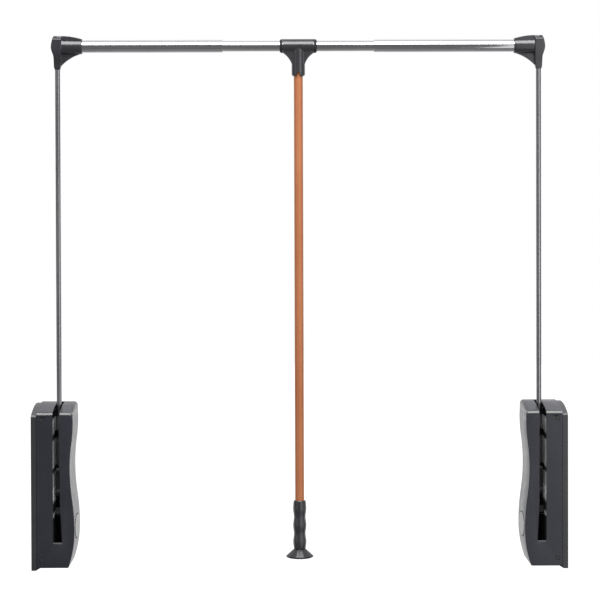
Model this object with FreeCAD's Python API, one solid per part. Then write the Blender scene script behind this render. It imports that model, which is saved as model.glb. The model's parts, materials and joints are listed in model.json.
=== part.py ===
import FreeCAD, Part
import math
import os

# Pull-down closet rod: a hanging rail on two swinging arms, carried by two wall housings.
# Millimetres. X runs from the left wall to the right wall, Y from the front to the back, Z up.
# The origin is midway between the walls, at mid depth, level with the foot of the wall plates.
# Every piece of the left half is built in place; the right half is its mirror image.
# "Reach" is a distance from the left wall, "lift" the angle the frame has swung forward.

V = FreeCAD.Vector
ACROSS = V(1, 0, 0)
BACK = V(0, 1, 0)
UP = V(0, 0, 1)

# ---- Whole product
closed_width = 830.0
rail_height = 812.0
rail_travel = 160.0
lift_angle = 135.0

# ---- Housing
housing_depth = 90.0
plate_thickness = 8.0
plate_skin = 4.0
plate_rim = 4.0
plate_shy = 2.0
plate_foot = 4.0
tab_reach = 7.0
tab_lip_reach = 13.0
cover_wall = 3.0
cover_foot_reach = 57.0
lower_bulge_reach = 66.8
lower_bulge_height = 61.0
waist_reach = 59.8
waist_height = 158.0
upper_bulge_reach = 64.8
upper_bulge_drop = 10.0
top_reach = 63.6
front_top_height = 240.7
crown_rise = 13.3
crown_depth = 40.0
crown_sag = 2.6
foot_swell = 0.76
top_corner = 4.5
cover_edge = 1.2
slot_width = 11.0
slot_foot_width = 14.0
slot_foot_height = 43.0
slot_flare_height = 105.0
slot_back_margin = 9.0
sill_depth = 1.4
sill_drop = 4.0

# ---- Wall fixing and cover lugs
wall_screw_hole = 5.0
wall_screw_spacing_y = 64.0
wall_screw_low = 45.0
wall_screw_high_drop = 35.7
screw_boss = 14.0
lug_reach = 16.0
lug_low = 16.0
lug_high_drop = 9.7
lug_size = 12.0
lug_length = 13.0

# ---- Pivot, arm and lever
arm_reach = 39.0
arm_rod = 8.0
pivot_y = 4.0
pivot_height = 115.0
axle = 8.0
axle_head = 12.0
axle_head_thickness = 1.8
axle_pocket_room = 1.0
axle_end = 2.0
bush_wall = 1.2
hub = 18.0
lever_depth = 15.0
lever_length = 38.0
lever_floor = 12.0
lever_bevel = 3.0
hub_room = 1.5
stop_arm = 30.0
stop_bar = 5.0
stop_pad = 3.0
stop_pad_width = 13.0

# ---- Bracket and guide plate
bracket_sheet = 2.0
bracket_width = 44.0
bracket_depth = 52.0
bracket_height = 149.0
bracket_bend = 3.0
bracket_corner = 9.0
bracket_shoulder_height = 70.0
bracket_head_front = -12.0
guide_sheet = 2.0
guide_front = -38.0
guide_back = 24.0
guide_top_drop = 7.7
guide_foot = 10.0
guide_window_depth = 30.0
guide_windows = ((206.0, 13.0), (153.0, 10.0))

# ---- Cam, plunger, spring and damper
cam_rate = 10.0
cam_rest_drop = 13.0
cam_width = 12.0
cam_gap = 0.05
cam_steps = 6
cam_nose_turn = 12.0
cam_nose_drop = 2.0
cam_heel_inset = 0.8
cam_heel_shift = 3.0
spring_coil = 17.5
spring_wire = 2.5
spring_turns = 7
spring_sides = 4
spring_stations = 9
plunger_head_thickness = 5.0
damper_body = 11.0
damper_floor = 3.0
damper_top_height = 70.0
damper_rod = 4.0
damper_flange_thickness = 3.0

# ---- Rail
outer_tube = 20.0
outer_tube_wall = 1.4
inner_tube = 17.0
inner_tube_wall = 1.2
mouth_reach = 297.0
least_overlap = 77.0
plug_collar = 3.0
plug_stem = 12.0

# ---- Elbow
elbow_rise = 15.9
elbow_drop = 36.2
elbow_length = 39.0
elbow_bulge = 9.2
elbow_inner_side = 6.6
elbow_post_depth = 27.0
elbow_post_bevel = 4.6
elbow_corner = 2.0
elbow_neck_drop = 16.0
elbow_boss = 10.6
elbow_boss_bevel = 1.2
elbow_boss_bevel_length = 4.0
elbow_boss_length = 13.0
elbow_barrel = 25.2
elbow_mouth = 24.0
elbow_mouth_bevel = 0.8
elbow_roof = 20.0
elbow_roof_flat = 11.5
elbow_web = 5.0
elbow_web_drop = 31.0
elbow_knee = (0.42, 0.66)
elbow_arm_floor = 4.0
elbow_tube_depth = 28.0

# ---- Tee, pull rod and handle
tee_length = 58.0
tee_collar = 4.8
tee_barrel = 22.0
tee_stem = 21.0
tee_drop = 47.3
tee_gusset = 14.0
tee_fillet = 18.0
tee_knee = (0.5, 0.7)
tee_web_root = 0.5
tee_web_margin = 1.0
tee_chamfer = 3.0
rod_socket_margin = 6.0
pull_rod = 14.0
pull_rod_wall = 1.0
grip_top_height = 100.4
grip_bulge = 20.8
grip_neck = 18.3
grip_top = 18.8
grip_pitch = 26.0
grip_swells = 3
grip_tail = 2.0
grip_insert = 20.0
handle_foot = 43.2
handle_foot_height = 10.2
foot_rim = 3.6
foot_rim_height = 2.4
foot_rim_bevel = 1.0
foot_underside = 30.0
foot_throat = 0.4
foot_spigot = 10.0
foot_spigot_length = 24.0

# ---- Clearances
running = 0.05
sliding = 0.3
seat = 0.2
cover_gap = 0.3
past = 1.0

# ---- Places that follow from the sizes
half_width = closed_width / 2
front = -housing_depth / 2
back = housing_depth / 2
back_top_height = front_top_height + crown_rise
upper_bulge_height = front_top_height - upper_bulge_drop
lug_high = front_top_height - lug_high_drop
guide_top = front_top_height - guide_top_drop
wall_screw_high = front_top_height - wall_screw_high_drop
arm_x = arm_reach - half_width
inside_reach = plate_thickness + bracket_sheet
far_flange_reach = plate_thickness + bracket_width
bracket_foot = plate_foot + cover_wall + bracket_sheet
bracket_floor_top = bracket_foot + bracket_sheet
guide_reach = arm_reach - slot_width / 2
lever_width = slot_width - 2 * sliding
spring_outside = spring_coil + spring_wire
spring_reach = (inside_reach + guide_reach - guide_sheet) / 2
plunger_y = pivot_y - cam_rate
plunger_top = pivot_height - cam_rest_drop - cam_gap
plunger_under = plunger_top - plunger_head_thickness
plunger_travel = cam_rate * math.radians(lift_angle)
spring_foot = bracket_floor_top + damper_flange_thickness
bush_bore = axle + 2 * running
bush_outside = bush_bore + 2 * bush_wall
hub_start = inside_reach + sliding
hub_end = far_flange_reach - bracket_sheet - sliding
arm_foot_height = pivot_height + lever_floor
outer_bore = outer_tube - 2 * outer_tube_wall
arm_top_height = rail_height - outer_tube / 2 - elbow_arm_floor
mouth_x = mouth_reach - half_width
tube_start_x = arm_x + elbow_length - elbow_tube_depth
inner_half = -mouth_x + rail_travel + least_overlap
rod_top_height = rail_height - tee_barrel / 2 - rod_socket_margin
grip_bottom_height = grip_top_height - grip_swells * grip_pitch + grip_tail


def left(reach):
    """X of a point at this distance from the left wall."""
    return reach - half_width


def box(low, high):
    size = high - low
    return Part.makeBox(size.x, size.y, size.z, low)


def rod(start, direction, diameter, length):
    return Part.makeCylinder(diameter / 2, length, start, direction)


def tube(start, direction, outside, bore, length):
    return rod(start, direction, outside, length).cut(rod(start, direction, bore, length))


def flat_face(*corners):
    points = list(corners)
    return Part.Face(Part.makePolygon(points + points[:1]))


def closed_solid(faces):
    solid = Part.makeSolid(Part.makeShell(faces))
    if solid.Volume < 0:
        solid.reverse()
    return solid


def turned(profile, base, direction, sides=24):
    """Turned form of flat bands round many-sided rings; the profile lists (radius, distance along)."""
    side = direction.cross(BACK if abs(direction.y) < 0.5 else UP)
    rings = []
    for radius, along in profile:
        spoke = side * radius
        centre = base + direction * along
        turns = [FreeCAD.Rotation(direction, 360 * corner / sides) for corner in range(sides)]
        rings.append([centre + turn.multVec(spoke) for turn in turns])
    faces = [flat_face(*rings[0]), flat_face(*rings[-1])]
    for ring, following in zip(rings, rings[1:]):
        for corner in range(sides):
            beside = (corner + 1) % sides
            faces.append(flat_face(ring[corner], ring[beside], following[beside], following[corner]))
    return closed_solid(faces)


def turned_tube(outside, bore, base, direction, length, sides=24):
    """Many-sided tube whose bore clears a round of the bore's diameter."""
    corner = bore / 2 / math.cos(math.pi / sides)
    outer = turned([(outside / 2, 0), (outside / 2, length)], base, direction, sides)
    return outer.cut(turned([(corner, -past), (corner, length + past)], base, direction, sides))


def line(start, end):
    return Part.LineSegment(start, end).toShape()


def prism(edges, direction):
    return Part.Face(Part.Wire(edges)).extrude(direction)


def outline(points):
    return [line(a, b) for a, b in zip(points, points[1:] + points[:1])]


def edges_near(shape, test):
    """Edges whose two ends and middle all pass the test."""
    found = []
    for edge in shape.Edges:
        first, last = edge.ParameterRange
        samples = [edge.valueAt(first + share * (last - first)) for share in (0.0, 0.5, 1.0)]
        if all(test(point) for point in samples):
            found.append(edge)
    return found


# ---- Housing

def side_block(reach_start, reach_end, inset, top_inset, foot):
    """Block with the housing's side outline: a flat back and a crowned top that falls to the front."""
    x = left(reach_start)
    front_top = V(x, front + inset, front_top_height - top_inset)
    crown = V(x, front + crown_depth, back_top_height - crown_sag - top_inset)
    back_top = V(x, back - inset, back_top_height - top_inset)
    edges = [
        Part.Arc(front_top, crown, back_top).toShape(),
        line(back_top, V(x, back - inset, foot)),
        line(V(x, back - inset, foot), V(x, front + inset, foot)),
        line(V(x, front + inset, foot), front_top),
    ]
    return prism(edges, ACROSS * (reach_end - reach_start))


def s_bend(low, high):
    """Two equal arcs that leave the low point and reach the high one upright."""
    middle = (low + high) / 2
    quarter = V((high.x - low.x) / 8, 0, (high.z - low.z) / 4)
    return [
        Part.Arc(low, low + quarter, middle).toShape(),
        Part.Arc(middle, high - quarter, high).toShape(),
    ]


def waisted_block(reach_start, inset, foot):
    """Block with the housing's front outline: a bulge at the foot, a waist and a shoulder."""
    y = front - past
    top = back_top_height + crown_rise

    def at(reach, z):
        return V(left(reach), y, z)

    foot_point = at(cover_foot_reach - inset, foot)
    bulge = at(lower_bulge_reach - inset, lower_bulge_height)
    waist = at(waist_reach - inset, waist_height)
    shoulder = at(upper_bulge_reach - inset, upper_bulge_height)
    top_point = at(top_reach - inset, top)
    swell = foot_point + V(foot_swell * (bulge.x - foot_point.x), 0, (bulge.z - foot_point.z) / 2)
    edges = [
        line(at(reach_start, foot), foot_point),
        Part.Arc(foot_point, swell, bulge).toShape(),
        *s_bend(bulge, waist),
        *s_bend(waist, shoulder),
        line(shoulder, top_point),
        line(top_point, at(reach_start, top)),
        line(at(reach_start, top), at(reach_start, foot)),
    ]
    return prism(edges, BACK * (housing_depth + 2 * past))


def housing_block(reach_start, inset):
    """The cover's outer form, or with an inset its hollow; bevelled where the top meets the inner side."""
    foot = plate_foot + inset
    block = side_block(reach_start, lower_bulge_reach + past, inset, inset, foot)
    block = block.common(waisted_block(reach_start, inset, foot))
    corner = edges_near(
        block, lambda p: p.z > front_top_height - inset - past and p.x > left(top_reach - inset - 2 * past)
    )
    corner = [edge for edge in corner if edge.BoundBox.YLength > housing_depth / 2]
    return block.makeChamfer(top_corner - inset / 2, corner)


def slot_cutter():
    """Slot for the arm: up the front, over the top, flared and bevelled at its foot."""
    y = front - past
    near = arm_reach - slot_width / 2
    far = arm_reach + slot_width / 2
    points = [
        V(left(near), y, slot_foot_height),
        V(left(near + slot_foot_width), y, slot_foot_height),
        V(left(far), y, slot_flare_height),
        V(left(far), y, back_top_height + past),
        V(left(near), y, back_top_height + past),
    ]
    slot = prism(outline(points), BACK * (housing_depth - slot_back_margin))
    low_corner = V(left(near), front, slot_foot_height - sill_drop)
    sill = [
        low_corner - BACK * past,
        low_corner,
        V(left(near), front + sill_depth, slot_foot_height),
        V(left(near), y, slot_foot_height),
    ]
    return slot.fuse(prism(outline(sill), ACROSS * slot_foot_width))


def cover():
    shell = housing_block(plate_thickness, 0.0)
    rim = edges_near(shell, lambda p: p.y < front + 0.01 and p.x > left(plate_thickness) + 0.01)
    shell = shell.makeChamfer(cover_edge, rim)
    shell = shell.cut(housing_block(plate_thickness - past, cover_wall))
    return shell.cut(slot_cutter())


def wall_screw_points():
    points = []
    for y in (-wall_screw_spacing_y / 2, wall_screw_spacing_y / 2):
        for z in (wall_screw_low, wall_screw_high):
            points.append(V(left(0), y, z))
    return points


def cover_lugs():
    """Lugs just behind the cover's front wall that take its two screws."""
    lug_front = front + cover_wall + cover_gap
    lugs = []
    for z in (lug_low, lug_high):
        low = V(left(plate_skin / 2), lug_front, z - lug_size / 2)
        high = V(left(lug_reach + lug_size / 2), lug_front + lug_length, z + lug_size / 2)
        lugs.append(box(low, high))
    return lugs


def wall_plate():
    """Moulded plate: a skin with a raised rim, screw bosses and a pad for the bracket."""
    plate = side_block(0, plate_thickness, 0.0, plate_shy, plate_foot)
    rim_foot = plate_foot + plate_rim
    hollow = side_block(plate_skin, plate_thickness + past, plate_rim, plate_shy + plate_rim, rim_foot)
    plate = plate.cut(hollow)
    tab = [
        V(left(0), front, plate_foot),
        V(left(0), front, 0),
        V(left(tab_reach), front, 0),
        V(left(tab_lip_reach), front, plate_foot - seat),
        V(left(plate_thickness), front, plate_foot - seat),
        V(left(plate_thickness), front, plate_foot),
    ]
    pieces = [prism(outline(tab), BACK * housing_depth)]
    pieces.append(box(
        V(left(plate_skin / 2), -bracket_depth / 2, plate_foot + plate_rim / 2),
        V(left(plate_thickness), bracket_depth / 2, bracket_foot + bracket_height),
    ))
    for point in wall_screw_points():
        corner = V(left(plate_skin / 2), point.y - screw_boss / 2, point.z - screw_boss / 2)
        pieces.append(box(corner, corner + V(plate_thickness - plate_skin / 2, screw_boss, screw_boss)))
    plate = plate.fuse(pieces + cover_lugs())
    for point in wall_screw_points():
        plate = plate.cut(rod(point - ACROSS * past, ACROSS, wall_screw_hole, plate_thickness + 2 * past))
    pocket = axle_head + 2 * axle_pocket_room
    floor = plate_thickness - axle_head_thickness - sliding
    corner = V(left(floor), pivot_y - pocket / 2, pivot_height - pocket / 2)
    plate = plate.cut(box(corner, corner + V(plate_thickness, pocket, pocket)))
    return plate.removeSplitter()


# ---- Bracket

def flange_outline(x):
    half = bracket_depth / 2
    top = bracket_foot + bracket_height
    points = [
        V(x, -half, bracket_foot),
        V(x, half, bracket_foot),
        V(x, half, top),
        V(x, bracket_head_front, top),
        V(x, bracket_head_front, pivot_height - 2 * axle),
        V(x, -half, bracket_shoulder_height),
    ]
    return outline(points)


def bracket():
    """Pressed steel channel: two flanges that carry the axle, and a floor for the spring."""
    half = bracket_depth / 2
    top = bracket_foot + bracket_height
    outside = box(V(left(plate_thickness), -half, bracket_foot), V(left(far_flange_reach), half, top))
    bends = edges_near(outside, lambda p: p.z < bracket_foot + 0.01)
    bends = [edge for edge in bends if edge.BoundBox.YLength > 1]
    inside = box(
        V(left(inside_reach), -half - past, bracket_floor_top),
        V(left(far_flange_reach - bracket_sheet), half + past, top + past),
    )
    channel = outside.makeFillet(bracket_bend, bends).cut(inside)
    sides = prism(flange_outline(left(0)), ACROSS * (far_flange_reach + past))
    corners = edges_near(sides, lambda p: p.z > top - 0.01)
    corners = [edge for edge in corners if edge.BoundBox.XLength > 1]
    channel = channel.common(sides.makeChamfer(bracket_corner, corners))
    channel = channel.cut(rod(V(left(0), pivot_y, pivot_height), ACROSS, axle, far_flange_reach + past))
    for bar in stop_bar_shapes(far_flange_reach + past):
        channel = channel.cut(bar)
    return channel


def guide_plate():
    """Bright steel partition between the spring and the arm, standing on the bracket's floor."""
    low = V(left(guide_reach - guide_sheet), guide_front, bracket_floor_top)
    high = V(left(guide_reach), guide_back, guide_top)
    sheet = box(low, high)
    corners = [edge for edge in edges_near(sheet, lambda p: p.z > guide_top - 0.01)
               if edge.BoundBox.XLength > 1]
    sheet = sheet.makeChamfer(bracket_corner, corners)
    foot_low = V(low.x, -bracket_depth / 2, bracket_floor_top)
    foot_high = V(left(guide_reach + guide_foot), guide_back, bracket_floor_top + guide_sheet)
    sheet = sheet.fuse(box(foot_low, foot_high))
    for height, size in guide_windows:
        start = V(low.x - past, pivot_y - guide_window_depth / 2, height - size / 2)
        sheet = sheet.cut(box(start, start + V(guide_sheet + 2 * past, guide_window_depth, size)))
    start = V(low.x - past, pivot_y, pivot_height)
    sheet = sheet.cut(rod(start, ACROSS, hub + 2 * hub_room, guide_sheet + 2 * past))
    for bar in stop_bar_shapes(far_flange_reach):
        sheet = sheet.cut(bar)
    return sheet.removeSplitter()


# ---- Lever, axle and stops

def swung(point, angle):
    """A point of the frame after the frame has swung forward by the angle."""
    turn = FreeCAD.Rotation(ACROSS, angle)
    pivot = V(point.x, pivot_y, pivot_height)
    return pivot + turn.multVec(point - pivot)


def stop_block(near, far, reach_start, reach_end, width):
    """Block across the arm's plane behind the raised lever, between two distances from its axis."""
    height = pivot_height + stop_arm - width / 2
    low = V(left(reach_start), pivot_y + near, height)
    return box(low, V(left(reach_end), pivot_y + far, height + width))


def lowered(shape):
    """The stop that meets the lever's other side when the frame is all the way down."""
    other_side = shape.mirror(V(0, pivot_y, 0), BACK)
    other_side.rotate(V(0, pivot_y, pivot_height), ACROSS, lift_angle)
    return other_side


def stop_bar_shapes(reach_end):
    near = lever_depth / 2 + sliding + stop_pad
    bar = stop_block(near, near + stop_bar, guide_reach - guide_sheet, reach_end, 2 * stop_bar)
    return [bar, lowered(bar)]


def stop_bars():
    """Flat steel bars let into the guide plate and the bracket's far flange."""
    return Part.makeCompound(stop_bar_shapes(far_flange_reach))


def stop_pads():
    """Rubber pads on the bars; the lever comes to rest against them at both ends of its swing."""
    near = lever_depth / 2 + sliding
    pad = stop_block(near, near + stop_pad, guide_reach + seat, far_flange_reach - bracket_sheet - seat,
                     stop_pad_width)
    return Part.makeCompound([pad, lowered(pad)])


def axle_pin():
    """Headed axle, its head in the wall plate's pocket."""
    start = V(left(plate_thickness - axle_head_thickness), pivot_y, pivot_height)
    head = turned([(axle_head / 2, 0), (axle_head / 2, axle_head_thickness)], start, ACROSS)
    return head.fuse(rod(start, ACROSS, axle, axle_head_thickness + bracket_width + axle_end))


def hub_bush():
    """Nylon bush pressed into the lever; it turns on the axle."""
    start = V(left(hub_start), pivot_y, pivot_height)
    return turned_tube(bush_outside, bush_bore, start, ACROSS, hub_end - hub_start)


def cam_point(angle):
    """Point of the involute that touches the plunger at this lift, in the raised frame."""
    drop = cam_rest_drop + cam_rate * math.radians(angle)
    contact = V(left(spring_reach - cam_width / 2), pivot_y - cam_rate, pivot_height - drop)
    return swung(contact, -angle)


def cam():
    """Spiral cam that drives a flat plunger down in proportion to the lift, drawn with three arcs."""
    points = [cam_point(lift_angle * step / cam_steps) for step in range(cam_steps + 1)]
    pivot = V(points[0].x, pivot_y, pivot_height)
    spoke = swung(points[-1], -cam_nose_turn) - pivot
    nose = pivot + spoke * (1 - cam_nose_drop / spoke.Length)
    heel = pivot + UP * (hub / 2 - cam_heel_inset) + BACK * cam_heel_shift
    flank = [Part.Arc(*points[start:start + 3]).toShape() for start in range(0, cam_steps, 2)]
    edges = flank + [
        line(points[-1], nose),
        line(nose, heel),
        line(heel, pivot),
        line(pivot, points[0]),
    ]
    return prism(edges, ACROSS * cam_width)


def lever_socket():
    """Flat-sided socket for the arm, bevelled at its mouth."""
    foot = V(arm_x - lever_width / 2, pivot_y, pivot_height)
    half = BACK * (lever_depth / 2)
    mouth = BACK * (lever_depth / 2 - lever_bevel)
    shoulder = UP * (lever_length - lever_bevel)
    top = UP * lever_length
    points = [foot - half, foot + half, foot + half + shoulder, foot + mouth + top, foot - mouth + top]
    points.append(foot - half + shoulder)
    return prism(outline(points), ACROSS * lever_width)


def lever_hub():
    """Die-cast lever: a barrel on the axle, the arm's socket above it and the cam beside it."""
    start = V(left(hub_start), pivot_y, pivot_height)
    foot = V(arm_x, pivot_y, pivot_height)
    barrel = turned([(hub / 2, 0), (hub / 2, hub_end - hub_start)], start, ACROSS)
    body = barrel.fuse([lever_socket(), cam()])
    radius = bush_outside / 2
    body = body.cut(turned([(radius, -past), (radius, hub_end - hub_start + past)], start, ACROSS))
    return body.cut(rod(foot + UP * lever_floor, UP, arm_rod, lever_length))


def arm():
    return rod(V(arm_x, pivot_y, arm_foot_height), UP, arm_rod, arm_top_height - arm_foot_height)


# ---- Plunger, spring and damper

def spring_axis(z):
    return V(left(spring_reach), plunger_y, z)


def plunger():
    """Flat steel head between the cam and the spring, on the damper's rod."""
    radius = spring_outside / 2
    return turned([(radius, 0), (radius, plunger_head_thickness)], spring_axis(plunger_under), UP)


def damper_rod_part():
    bottom = spring_foot + plunger_travel + damper_floor
    return rod(spring_axis(bottom), UP, damper_rod, plunger_under - bottom)


def damper_cylinder():
    """Hydraulic damper inside the spring; its flange is the spring's lower seat."""
    profile = [
        (spring_outside / 2, 0),
        (spring_outside / 2, damper_flange_thickness),
        (damper_body / 2, damper_flange_thickness),
        (damper_body / 2, damper_top_height - bracket_floor_top),
    ]
    body = turned(profile, spring_axis(bracket_floor_top), UP)
    return body.cut(rod(spring_axis(spring_foot), UP, damper_rod + 2 * running, damper_top_height))


def spring_ring(station):
    """Corners of the wire's section at one station along the helix; the end coils are closed."""
    turns = station / spring_stations
    low = spring_foot + spring_wire / 2
    high = plunger_under - spring_wire / 2
    closed_pitch = spring_wire + running
    open_pitch = (high - low - 2 * closed_pitch) / (spring_turns - 2)
    open_turns = min(max(turns - 1, 0), spring_turns - 2)
    height = low + closed_pitch * (turns - open_turns) + open_pitch * open_turns
    angle = 2 * math.pi * turns
    outward = V(math.cos(angle), math.sin(angle), 0)
    centre = spring_axis(height) + outward * spring_coil / 2
    corners = []
    for corner in range(spring_sides):
        turn = 2 * math.pi * corner / spring_sides
        corners.append(centre + (outward * math.cos(turn) + UP * math.sin(turn)) * spring_wire / 2)
    return corners


def spring():
    """Compression spring, its wire built of flat facets along the helix."""
    rings = [spring_ring(station) for station in range(spring_turns * spring_stations + 1)]
    faces = [flat_face(*rings[0]), flat_face(*rings[-1])]
    for ring, following in zip(rings, rings[1:]):
        for corner in range(spring_sides):
            beside = (corner + 1) % spring_sides
            faces.append(flat_face(ring[corner], ring[beside], following[beside]))
            faces.append(flat_face(ring[corner], following[beside], following[corner]))
    return closed_solid(faces)


# ---- Frame: elbow, rail and arm

def elbow_point(along, rise, y=pivot_y):
    """Point of the corner moulding, from where the arm's axis meets the rail's."""
    return V(arm_x + along, y, rail_height + rise)


def elbow_post():
    """Upright half of the corner moulding: a bulged head that narrows to the arm's boss."""
    y = pivot_y - elbow_post_depth
    half = elbow_boss / 2
    foot_half = half - elbow_boss_bevel
    boss_low = elbow_boss_bevel_length - elbow_drop
    top = elbow_point(-elbow_inner_side + elbow_corner, elbow_rise, y)
    neck = elbow_point(-half, -elbow_neck_drop, y)
    edges = [Part.Arc(top, elbow_point(-elbow_bulge, 0, y), neck).toShape()]
    corners = [
        neck,
        elbow_point(-half, boss_low, y),
        elbow_point(-foot_half, -elbow_drop, y),
        elbow_point(foot_half, -elbow_drop, y),
        elbow_point(half, boss_low, y),
        elbow_point(elbow_inner_side, -elbow_neck_drop, y),
        elbow_point(elbow_inner_side, elbow_rise - elbow_corner, y),
        elbow_point(elbow_inner_side - elbow_corner, elbow_rise, y),
        top,
    ]
    edges += [line(a, b) for a, b in zip(corners, corners[1:])]
    front_form = prism(edges, BACK * (2 * elbow_post_depth))
    near_side = [
        (elbow_post_depth / 2 - elbow_post_bevel, elbow_rise),
        (elbow_post_depth / 2, elbow_rise - elbow_post_bevel),
        (elbow_post_depth / 2, -elbow_mouth / 2),
        (half, elbow_boss_length - elbow_drop),
        (half, boss_low),
        (foot_half, -elbow_drop),
    ]
    far_side = [(-depth, rise) for depth, rise in reversed(near_side)]
    section = [elbow_point(-elbow_length, rise, pivot_y + depth) for depth, rise in near_side + far_side]
    return front_form.common(prism(outline(section), ACROSS * (2 * elbow_length)))


def elbow_web_shape():
    """Thin web in the corner under the barrel."""
    y = pivot_y - elbow_web / 2
    low = elbow_point(elbow_boss / 2 - elbow_boss_bevel, -elbow_web_drop, y)
    high = elbow_point(elbow_length - elbow_boss_bevel, elbow_mouth_bevel - elbow_mouth / 2, y)
    knee = V(low.x + elbow_knee[0] * (high.x - low.x), y, low.z + elbow_knee[1] * (high.z - low.z))
    centre = elbow_point(0, 0, y)
    edges = [Part.Arc(low, knee, high).toShape(), line(high, centre), line(centre, low)]
    return prism(edges, BACK * elbow_web)


def elbow_roof_shape():
    """Rib along the barrel's top that runs down from the post to the mouth."""
    y = pivot_y - elbow_roof / 2
    points = [
        elbow_point(0, 0, y),
        elbow_point(elbow_length - elbow_mouth_bevel, 0, y),
        elbow_point(elbow_length - elbow_mouth_bevel, elbow_mouth / 2 - elbow_mouth_bevel, y),
        elbow_point(elbow_roof_flat, elbow_rise, y),
        elbow_point(0, elbow_rise, y),
    ]
    return prism(outline(points), BACK * elbow_roof)


def elbow():
    """Corner moulding: a post for the arm, a barrel for the rail, a rib above it and a web below it."""
    profile = [
        (elbow_barrel / 2, 0),
        (elbow_mouth / 2, elbow_length - elbow_mouth_bevel),
        (elbow_mouth / 2 - elbow_mouth_bevel, elbow_length),
    ]
    body = turned(profile, elbow_point(0, 0), ACROSS).fuse([elbow_post(), elbow_web_shape(), elbow_roof_shape()])
    body = body.cut(rod(V(tube_start_x, pivot_y, rail_height), ACROSS, outer_tube, elbow_length))
    return body.cut(rod(V(arm_x, pivot_y, 0), UP, arm_rod, arm_top_height))


def rail_tube():
    start = V(tube_start_x, pivot_y, rail_height)
    return tube(start, ACROSS, outer_tube, outer_bore, mouth_x - tube_start_x)


def inner_rail():
    start = V(-inner_half, pivot_y, rail_height)
    return tube(start, ACROSS, inner_tube, inner_tube - 2 * inner_tube_wall, 2 * inner_half)


def rail_plugs():
    """Plugs that close both ends of the inner tube and glide in the outer tubes."""
    plugs = []
    for side in (-1, 1):
        start = V(side * (inner_half - plug_stem), pivot_y, rail_height)
        stem = inner_tube / 2 - inner_tube_wall
        collar = outer_bore / 2 - running
        profile = [(stem, 0), (stem, plug_stem), (collar, plug_stem), (collar, plug_stem + plug_collar)]
        plugs.append(turned(profile, start, ACROSS * side))
    return Part.makeCompound(plugs)


# ---- Handle

def tee():
    """Tee moulding that turns on the rail and holds the pull rod."""
    centre = V(0, pivot_y, rail_height)
    half = tee_length / 2 - tee_collar
    barrel = turned([(tee_barrel / 2, 0), (tee_barrel / 2, 2 * half)], centre - ACROSS * half, ACROSS)
    stem = turned(
        [
            (tee_stem / 2, 0),
            (tee_stem / 2, tee_drop - tee_chamfer),
            (tee_stem / 2 - tee_chamfer, tee_drop),
        ],
        centre,
        -UP,
    )
    y = pivot_y - tee_gusset / 2
    low = V(tee_stem / 2 - tee_web_root, y, rail_height - tee_barrel / 2 - tee_fillet)
    high = V(half - tee_web_margin, y, rail_height - tee_barrel / 2 + tee_web_margin)
    knee = V(low.x + tee_knee[0] * (high.x - low.x), y, low.z + tee_knee[1] * (high.z - low.z))
    far_low = V(-low.x, y, low.z)
    far_high = V(-high.x, y, high.z)
    far_knee = V(-knee.x, y, knee.z)
    top = V(high.x, y, rail_height)
    far_top = V(-high.x, y, rail_height)
    web = [
        Part.Arc(low, knee, high).toShape(),
        line(high, top),
        line(top, far_top),
        line(far_top, far_high),
        Part.Arc(far_high, far_knee, far_low).toShape(),
        line(far_low, low),
    ]
    body = barrel.fuse([stem, prism(web, BACK * tee_gusset)])
    body = body.cut(rod(centre - ACROSS * half, ACROSS, inner_tube + 2 * running, 2 * half))
    return body.cut(rod(V(0, pivot_y, rod_top_height), -UP, pull_rod, tee_drop))


def tee_collars():
    """Collars fixed to the inner tube on both sides of the tee, which turns between them."""
    collars = []
    for side in (-1, 1):
        start = V(side * (tee_length / 2 - tee_collar + seat), pivot_y, rail_height)
        collars.append(turned_tube(tee_barrel, inner_tube, start, ACROSS * side, tee_collar - seat))
    return Part.makeCompound(collars)


def pull_rod_part():
    bottom = grip_top_height - grip_insert
    bore = pull_rod - 2 * pull_rod_wall
    return tube(V(0, pivot_y, bottom), UP, pull_rod, bore, rod_top_height - bottom)


def handle_grip():
    """Grip with gentle swells; each swell is four conical bands that follow a cosine."""
    swing = (grip_bulge - grip_neck) / 4
    mean = (grip_bulge + grip_neck) / 4
    length = grip_top_height - grip_bottom_height
    profile = [(grip_top / 2, 0)]
    bands = 4
    for step in range(1, bands * grip_swells):
        wave = math.cos(2 * math.pi * step / bands)
        profile.append((mean - swing * wave, step * grip_pitch / bands))
    profile.append((grip_neck / 2, length))
    body = turned(profile, V(0, pivot_y, grip_top_height), -UP)
    body = body.cut(rod(V(0, pivot_y, grip_top_height), -UP, pull_rod, grip_insert))
    return body.cut(rod(V(0, pivot_y, grip_bottom_height), UP, foot_spigot, foot_spigot_length))


def handle_foot_part():
    """Conical foot under the grip, with the spigot that the grip is pushed on to."""
    height = grip_bottom_height - handle_foot_height
    rim = handle_foot / 2
    neck = grip_neck / 2
    base = V(0, pivot_y, handle_foot_height)
    profile = [
        (foot_underside / 2, 0),
        (rim - foot_rim_bevel, foot_rim_bevel),
        (rim, foot_rim_height),
        (rim - foot_rim_bevel, foot_rim),
        (neck + foot_throat, height - foot_throat),
        (neck, height),
        (foot_spigot / 2, height),
        (foot_spigot / 2, height + foot_spigot_length),
    ]
    return turned(profile, base, UP)


side_pieces = {
    "wall_plate": wall_plate,
    "cover": cover,
    "bracket": bracket,
    "guide_plate": guide_plate,
    "stop_bars": stop_bars,
    "stop_pads": stop_pads,
    "axle": axle_pin,
    "hub_bush": hub_bush,
    "lever_hub": lever_hub,
    "arm": arm,
    "plunger": plunger,
    "damper_rod": damper_rod_part,
    "damper_cylinder": damper_cylinder,
    "spring": spring,
    "elbow": elbow,
    "rail_tube": rail_tube,
}

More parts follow.
